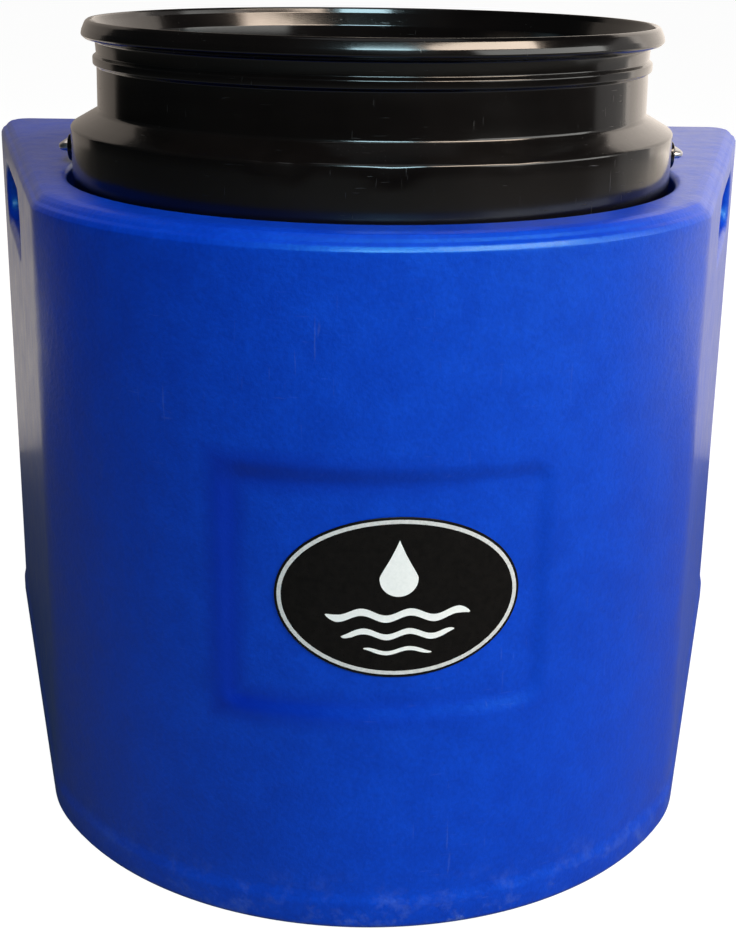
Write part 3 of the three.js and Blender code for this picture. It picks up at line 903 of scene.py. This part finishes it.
def blue_plastic():
    m, nt, b = new_material("housing_blue")
    v = coords(nt)
    big = noise(nt, v, 5.0, 3.0)
    mid = noise(nt, v, 60.0, 4.0, 0.6)
    fine = noise(nt, v, 420.0, 3.0, 0.6)
    speck = noise(nt, v, 1500.0, 2.0, 0.5)
    base = ramp(nt, big, [(0.3, (0.0008, 0.034, 0.46)), (0.7, (0.0012, 0.040, 0.52))])
    mott = ramp(nt, mid, [(0.35, (0.90, 0.90, 0.93)), (0.65, (1.08, 1.08, 1.05))])
    base = mix(nt, 1.0, base, mott, "MULTIPLY")
    fm = ramp(nt, fine, [(0.35, (0.88, 0.88, 0.92)), (0.65, (1.12, 1.12, 1.06))])
    base = mix(nt, 1.0, base, fm, "MULTIPLY")
    # rubbed places: foot band and scattered scuffs
    sep = node(nt, "ShaderNodeSeparateXYZ")
    tc = node(nt, "ShaderNodeTexCoord")
    nt.links.new(tc.outputs["Object"], sep.inputs[0])
    low = remap(nt, sep.outputs["Z"], 0.0, 0.035, 1.0, 0.0)
    s1 = scratches(nt, (9, 9, 120), 9.0, 0.70, 0.76, (0.3, 0.2, 0.1))
    s2 = scratches(nt, (130, 130, 9), 6.0, 0.70, 0.76, (0.05, 0.4, 0.0))
    s3 = scratches(nt, (120, 120, 7), 5.0, 0.71, 0.77, (-0.5, -0.3, 0.3))
    patch = remap(nt, noise(nt, v, 14.0, 3.0), 0.50, 0.64, 0.0, 1.0)
    scuff = math_node(nt, "MULTIPLY", math_node(nt, "MAXIMUM", math_node(nt, "MAXIMUM", s1, s2), s3), patch)
    foot = math_node(nt, "MULTIPLY", low, remap(nt, noise(nt, v, 90.0, 5.0, 0.7), 0.5, 0.72, 0.0, 1.0))
    wear = math_node(nt, "MAXIMUM", math_node(nt, "MULTIPLY", scuff, 0.12), math_node(nt, "MULTIPLY", foot, 0.30))
    edge = remap(nt, sep.outputs["Z"], 0.0, 0.011, 1.0, 0.0)
    nick = math_node(nt, "MULTIPLY", edge, remap(nt, noise(nt, v, 55.0, 5.0, 0.75), 0.60, 0.68, 0.0, 0.55))
    wear = math_node(nt, "MAXIMUM", wear, nick)
    # painted shade: a darker blue is mixed into the bands round the recessed panel, strongest on the left side away
    # from the key light and fading towards the right; the same mask also lowers the roughness there
    beta = math_node(nt, "ARCTAN2", sep.outputs["X"], math_node(nt, "MULTIPLY", sep.outputs["Y"], -1.0))
    du = math_node(nt, "SUBTRACT", math_node(nt, "MULTIPLY", math_node(
        nt, "ABSOLUTE", math_node(nt, "SUBTRACT", beta, math.radians(PANEL_MID))), 0.1915), 0.0769)
    dz = math_node(nt, "SUBTRACT", math_node(
        nt, "ABSOLUTE", math_node(nt, "SUBTRACT", sep.outputs["Z"], 0.18075)), 0.05925)
    panel_shade = remap(nt, math_node(nt, "ABSOLUTE", math_node(nt, "MAXIMUM", du, dz)), 0.0030, 0.0125, 1.0, 0.0)
    panel_shade = math_node(nt, "MULTIPLY", panel_shade, remap(nt, beta, math.radians(PANEL_MID - 20), math.radians(PANEL_MID + 17), 1.0, 0.12))
    base = mix(nt, math_node(nt, "MULTIPLY", panel_shade, 0.80), base, (0.0004, 0.012, 0.33))
    col = mix(nt, wear, base, (0.16, 0.24, 0.55))
    nt.links.new(col, b.inputs["Base Color"])
    rough = remap(nt, mid, 0.3, 0.7, 0.38, 0.47)
    rough = math_node(nt, "ADD", rough, math_node(nt, "MULTIPLY", wear, 0.25))
    rough = math_node(nt, "SUBTRACT", rough, math_node(nt, "MULTIPLY", panel_shade, 0.10))
    nt.links.new(rough, b.inputs["Roughness"])
    b.inputs["IOR"].default_value = 1.5
    b.inputs["Specular Tint"].default_value = (0.13, 0.76, 1.0, 1)
    b.inputs["Specular IOR Level"].default_value = 0.75
    b.inputs["Coat Weight"].default_value = 0.14
    b.inputs["Coat Roughness"].default_value = 0.20
    bump(nt, b, [(mid, 0.35, 0.0010), (fine, 0.50, 0.00035), (speck, 0.3, 0.0001), (scuff, 0.10, 0.0002)])
    return m


def black_gloss():
    m, nt, b = new_material("pail_black")
    v = coords(nt)
    big = noise(nt, v, 18.0, 3.0)
    fine = noise(nt, v, 900.0, 2.0)
    base = ramp(nt, big, [(0.3, (0.0022, 0.0018, 0.0018)), (0.7, (0.0045, 0.0034, 0.0032))])
    s1 = scratches(nt, (9, 9, 150), 8.0, 0.70, 0.75, (0.02, 0.03, 0.0))
    s2 = scratches(nt, (150, 150, 12), 6.0, 0.70, 0.75, (0.1, 0.05, 0.2))
    patch = remap(nt, noise(nt, v, 22.0, 3.0), 0.5, 0.62, 0.0, 1.0)
    sc = math_node(nt, "MULTIPLY", math_node(nt, "MAXIMUM", s1, s2), patch)
    col = mix(nt, math_node(nt, "MULTIPLY", sc, 0.10), base, (0.12, 0.12, 0.13))
    nt.links.new(col, b.inputs["Base Color"])
    rough = remap(nt, big, 0.3, 0.7, 0.12, 0.19)
    rough = math_node(nt, "ADD", rough, math_node(nt, "MULTIPLY", sc, 0.3))
    nt.links.new(rough, b.inputs["Roughness"])
    b.inputs["IOR"].default_value = 1.52
    # faint upright flow lines of the moulding, and slow waves
    tc = node(nt, "ShaderNodeTexCoord")
    mp = node(nt, "ShaderNodeMapping")
    mp.inputs["Scale"].default_value = (30, 30, 1.5)
    nt.links.new(tc.outputs["Object"], mp.inputs["Vector"])
    flow = noise(nt, mp.outputs["Vector"], 3.0, 2.0)
    bump(nt, b, [(flow, 0.10, 0.0006), (big, 0.08, 0.0010), (fine, 0.06, 0.00006), (sc, 0.2, 0.0001)])
    return m


def simple(name, dark, light, scale, r0, r1, strength, dist, metallic=0.0, coat=0.0, detail=4.0):
    m, nt, b = new_material(name)
    v = coords(nt)
    f = noise(nt, v, scale, detail, 0.6)
    g = noise(nt, v, scale * 4.3, 3.0, 0.6)
    nt.links.new(ramp(nt, f, [(0.3, dark), (0.7, light)]), b.inputs["Base Color"])
    nt.links.new(remap(nt, g, 0.3, 0.7, r0, r1), b.inputs["Roughness"])
    b.inputs["Metallic"].default_value = metallic
    b.inputs["Coat Weight"].default_value = coat
    bump(nt, b, [(f, strength, dist), (g, strength * 0.7, dist * 0.3)])
    return m


def foam_material():
    m, nt, b = new_material("foam_yellow")
    v = coords(nt)
    vor = node(nt, "ShaderNodeTexVoronoi")
    vor.inputs["Scale"].default_value = 320.0
    nt.links.new(v, vor.inputs["Vector"])
    f = noise(nt, v, 30.0, 5.0)
    base = ramp(nt, f, [(0.3, (0.62, 0.50, 0.24)), (0.7, (0.78, 0.68, 0.40))])
    cells = ramp(nt, vor.outputs["Distance"], [(0.0, (0.72, 0.70, 0.66)), (0.5, (1.0, 1.0, 1.0))])
    nt.links.new(mix(nt, 1.0, base, cells, "MULTIPLY"), b.inputs["Base Color"])
    nt.links.new(remap(nt, f, 0.3, 0.7, 0.85, 0.95), b.inputs["Roughness"])
    bump(nt, b, [(vor.outputs["Distance"], 0.6, 0.0008), (f, 0.5, 0.003)])
    return m


def set_material(ob, *mats):
    ob.data.materials.clear()
    for m in mats:
        ob.data.materials.append(m)


# ------------------------------------------------------------------ assembly

blue = blue_plastic()
black = black_gloss()
vinyl = simple("label_vinyl_black", (0.0030, 0.0026, 0.0026), (0.0065, 0.0055, 0.0052), 300.0, 0.26, 0.34, 0.12, 0.0001)
vinyl.node_tree.nodes["Principled BSDF"].inputs["Specular IOR Level"].default_value = 0.16
silver = simple("label_print_silver", (0.52, 0.52, 0.53), (0.68, 0.68, 0.69), 600.0, 0.32, 0.45, 0.10, 0.00005, coat=0.2)
white = simple("label_print_white", (0.80, 0.81, 0.82), (0.88, 0.88, 0.89), 600.0, 0.32, 0.45, 0.10, 0.00005, coat=0.2)
zinc = simple("wire_zinc", (0.45, 0.46, 0.48), (0.66, 0.67, 0.69), 500.0, 0.26, 0.42, 0.25, 0.00015, metallic=1.0)
grip_black = simple("grip_black", (0.008, 0.008, 0.008), (0.016, 0.015, 0.015), 350.0, 0.42, 0.58, 0.3, 0.0003)
plug_black = simple("plug_black", (0.010, 0.011, 0.012), (0.020, 0.021, 0.024), 260.0, 0.5, 0.66, 0.3, 0.0003)
foam = foam_material()

shell = build_housing()
set_material(shell, blue)
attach(shell, "housing")
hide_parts("housing_shell")

set_material(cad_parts["foam_core"], foam)

for name, node_name, x, hole in (("fill_plug_moulded", "fill_plug", 105.0, 18.3),
                                 ("vent_plug_moulded", "vent_plug", -105.0, 9.3)):
    p = build_plug(name, x, hole)
    set_material(p, plug_black)
    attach(p, "housing")
    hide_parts(node_name)

label, label_mats = build_label()
set_material(label, vinyl, silver)
label.data.polygons.foreach_set("material_index", label_mats)
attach(label, "housing")
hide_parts("oval_label")
for p in emblem():
    set_material(p, white)
    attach(p, "housing")

pail = build_pail()
set_material(pail, black)
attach(pail, "pail_body")
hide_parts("pail")

wire = build_wire()
set_material(wire, zinc)
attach(wire, "bail")
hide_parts("bail_wire")

grip = build_grip()
set_material(grip, grip_black)
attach(grip, "grip")
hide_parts("bail_grip")


# ------------------------------------------------------------------ stage, light, camera

def pale_floor():
    """A wide, flat, pale floor. It shows white, and gives the object only a soft bounce."""
    size = 60.0
    me = bpy.data.meshes.new("floor")
    me.from_pydata([(-size, -size, 0), (size, -size, 0), (size, size, 0), (-size, size, 0)], [], [(0, 1, 2, 3)])
    ob = bpy.data.objects.new("floor", me)
    bpy.context.scene.collection.objects.link(ob)
    m, nt, b = new_material("floor_pale")
    b.inputs["Base Color"].default_value = (0.16, 0.158, 0.155, 1)
    b.inputs["Roughness"].default_value = 0.9
    b.inputs["Specular IOR Level"].default_value = 0.1
    b.inputs["Emission Color"].default_value = (1, 1, 1, 1)
    lp = node(nt, "ShaderNodeLightPath")
    glow = math_node(nt, "MULTIPLY", lp.outputs["Is Camera Ray"], 0.97)
    nt.links.new(glow, b.inputs["Emission Strength"])
    me.materials.append(m)
    return ob


pale_floor()


def area(name, azimuth, elevation, distance, size_x, size_y, power, colour, target=(0, 0, 0.3), spread=180):
    """A soft box. Azimuth 0 is over the camera's shoulder (-Y), positive towards +X."""
    a, e = math.radians(azimuth), math.radians(elevation)
    t = Vector(target)
    pos = t + Vector((math.sin(a) * math.cos(e), -math.cos(a) * math.cos(e), math.sin(e))) * distance
    li = bpy.data.lights.new(name, "AREA")
    li.shape, li.size, li.size_y = "RECTANGLE", size_x, size_y
    li.energy, li.color = power, colour
    li.spread = math.radians(spread)
    ob = bpy.data.objects.new(name, li)
    ob.location = pos
    ob.rotation_euler = (t - pos).to_track_quat("-Z", "Y").to_euler()
    bpy.context.scene.collection.objects.link(ob)
    ob.visible_camera = False
    return ob


def card(name, azimuth, elevation, distance, size_x, size_y, radiance, colour, **kw):
    return area(name, azimuth, elevation, distance, size_x, size_y, radiance * math.pi * size_x * size_y, colour, **kw)


card("key_warm", 47, 40, 2.6, 1.75, 0.60, 19.0, (1.0, 0.82, 0.66))
card("window_cool", 4, 36, 2.6, 0.95, 0.62, 21.0, (0.60, 0.90, 1.0))
card("right_front", 68, 17, 2.5, 2.6, 1.0, 3.5, (0.98, 0.98, 0.94))
card("right_low", 112, 8, 2.4, 1.2, 1.4, 0.45, (1.0, 0.96, 0.93))
card("back_right", 151, 10, 2.6, 2.9, 2.4, 1.45, (1.0, 0.89, 0.79))
card("back_left", -153, 10, 2.6, 2.7, 2.4, 0.40, (1.0, 0.86, 0.74))
card("top_soft", 20, 80, 2.6, 1.6, 1.6, 0.5, (0.92, 0.96, 1.0))


def table_glow():
    """The light that a pale table behind and to the right of the object sends up."""
    for name, x, y, sx, sy, radiance, colour in (
            ("table_back", 0.5, 1.45, 3.4, 1.9, 0.90, (1.0, 0.88, 0.76)),
            ("table_right", 1.55, 0.25, 1.3, 0.8, 0.45, (0.97, 0.98, 1.0))):
        li = bpy.data.lights.new(name, "AREA")
        li.shape, li.size, li.size_y = "RECTANGLE", sx, sy
        li.energy, li.color = radiance * math.pi * sx * sy, colour
        ob = bpy.data.objects.new(name, li)
        ob.location = (x, y, 0.004)
        ob.rotation_euler = (math.pi, 0, 0)
        bpy.context.scene.collection.objects.link(ob)
        ob.visible_camera = False


table_glow()

world = bpy.data.worlds.new("studio")
bpy.context.scene.world = world
world.use_nodes = True
wt = world.node_tree
bg = wt.nodes["Background"]
bg.inputs[0].default_value = (0.96, 0.98, 1.0, 1)
wlp = node(wt, "ShaderNodeLightPath")
wt.links.new(remap(wt, wlp.outputs["Is Camera Ray"], 0.0, 1.0, 0.02, 1.0), bg.inputs[1])

bpy.context.scene.view_settings.view_transform = "Standard"


def camera():
    f, pitch, roll, turn = 1451.2, math.radians(20.004), math.radians(0.8), math.radians(-0.47)
    c0 = Vector((0.0006, -0.7957, 0.4652))
    fwd = Vector((0, math.cos(pitch), -math.sin(pitch)))
    right = Vector((1, 0, 0))
    up = right.cross(fwd)
    r = right * math.cos(roll) + up * math.sin(roll)
    u = -right * math.sin(roll) + up * math.cos(roll)
    m = Matrix((
        (r.x, u.x, -fwd.x, c0.x),
        (r.y, u.y, -fwd.y, c0.y),
        (r.z, u.z, -fwd.z, c0.z),
        (0, 0, 0, 1)))
    cam = bpy.data.cameras.new("photo_camera")
    cam.sensor_fit = "AUTO"
    cam.sensor_width = 36.0
    cam.lens = f / 936.0 * 36.0
    cam.clip_start, cam.clip_end = 0.05, 200.0
    ob = bpy.data.objects.new("photo_camera", cam)
    bpy.context.scene.collection.objects.link(ob)
    ob.matrix_world = Matrix.Rotation(turn, 4, "Z") @ m
    bpy.context.scene.camera = ob


camera()

bpy.context.view_layer.update()
